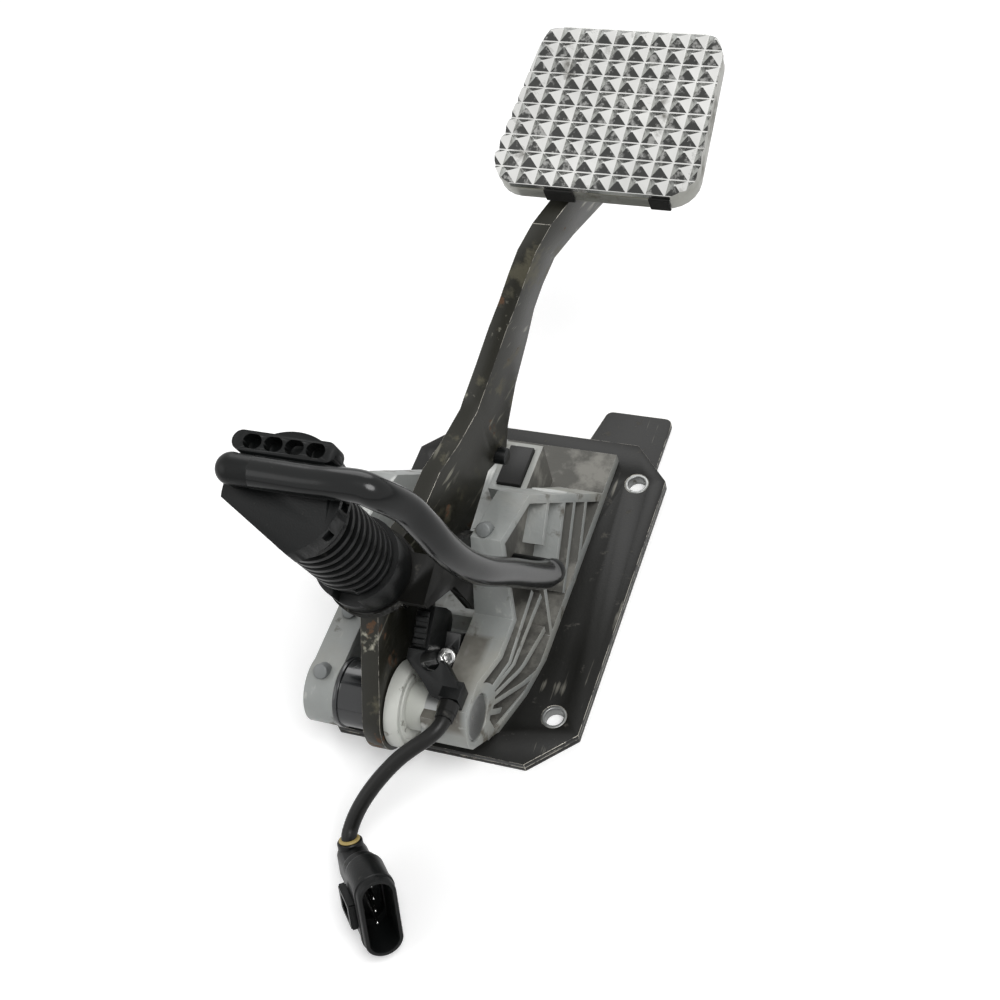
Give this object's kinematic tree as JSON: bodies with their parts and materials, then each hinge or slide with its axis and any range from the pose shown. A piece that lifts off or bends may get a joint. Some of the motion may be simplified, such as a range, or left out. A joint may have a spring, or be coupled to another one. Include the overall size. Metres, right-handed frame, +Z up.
{
  "type": "clutch pedal assembly",
  "caption": "Clutch pedal on a grey cast bracket with two base plates: bent arm with a pyramid-faced pad, hydraulic cylinder, hose and position sensor with a plug.",
  "frame": {"origin": "middle of the four mounting holes, on the underside of the lower base plate", "axes": "+Z up from the base plates; +Y away from the driver, from the pivot end to the tongue; +X to the right seen from the driver, along the pivot shaft"},
  "size_m": [0.1728, 0.3461, 0.23],
  "materials": {
    "plate_paint": "satin black paint, worn at the edges",
    "bright_steel": "bright",
    "steel": "dull",
    "cast_grey": "matt light grey paint on a casting",
    "pin_grey": "matt",
    "label_white": "matt, bare",
    "rubber": "semi-matt",
    "gloss_black": "glossy",
    "black_plastic": "satin, moulded",
    "seal_tan": "matt",
    "white_nylon": "satin, scuffed",
    "arm_paint": "dark olive paint with rust and scratches",
    "olive_metal": "dull olive",
    "chrome": "polished pyramids"
  },
  "bodies": {
    "bracket": {"lower_plate": "plate_paint", "upper_plate": "plate_paint", "mount_sleeves": "bright_steel", "bracket_casting": "cast_grey", "foot_screws": "steel", "locating_pins": "pin_grey", "blank_label": "label_white", "bump_stop": "rubber", "pivot_shaft": "steel", "shaft_rings": "bright_steel", "spacer_bush": "gloss_black", "sensor_housing": "black_plastic", "sensor_cover": "black_plastic", "sensor_screw": "bright_steel", "cable_gland": "rubber", "sensor_cable": "rubber", "connector_housing": "black_plastic", "connector_pins": "bright_steel", "connector_seal": "seal_tan", "connector_latch": "black_plastic", "cylinder_bracket": "plate_paint", "bracket_screws": "steel", "cylinder_barrel": "black_plastic", "cylinder_head": "black_plastic", "cylinder_screws": "steel", "head_port": "black_plastic", "feed_hose": "rubber", "hose_union": "black_plastic"},
    "pedal": {"pedal_arm": "arm_paint", "arm_bush": "white_nylon", "encoder_disc": "white_nylon", "arm_peg": "black_plastic", "pad_carrier": "plate_paint", "pad_frame": "olive_metal", "pad_plate": "chrome", "pad_rivets": "bright_steel", "rod_pin": "steel"},
    "rod": {"push_rod": "bright_steel"},
    "piston": {"piston": "white_nylon", "piston_seals": "rubber"}
  },
  "joints": [
    {"name": "pedal_pivot", "type": "hinge", "parent": "bracket", "child": "pedal", "pos_m": [0, -0.0925, 0.036], "axis": [-1, 0, 0], "range_deg": [0, 16.8], "stiffness_Nm_per_rad": 20, "springref_deg": -20.05},
    {"name": "rod_pivot", "type": "hinge", "parent": "pedal", "child": "rod", "pos_m": [-0.01225, -0.0615, 0.08], "axis": [-1, 0, 0], "range_deg": [-25, 0]},
    {"name": "piston_slide", "type": "slide", "parent": "bracket", "child": "piston", "axis": [0, -0.3057, 0.9521], "range_m": [-0.016, 0]}
  ],
  "couplings": [
    {"joint": "rod_pivot", "follows": "pedal_pivot", "ratio": -1.42},
    {"joint": "piston_slide", "follows": "pedal_pivot", "m_per_rad": -0.0487}
  ]
}
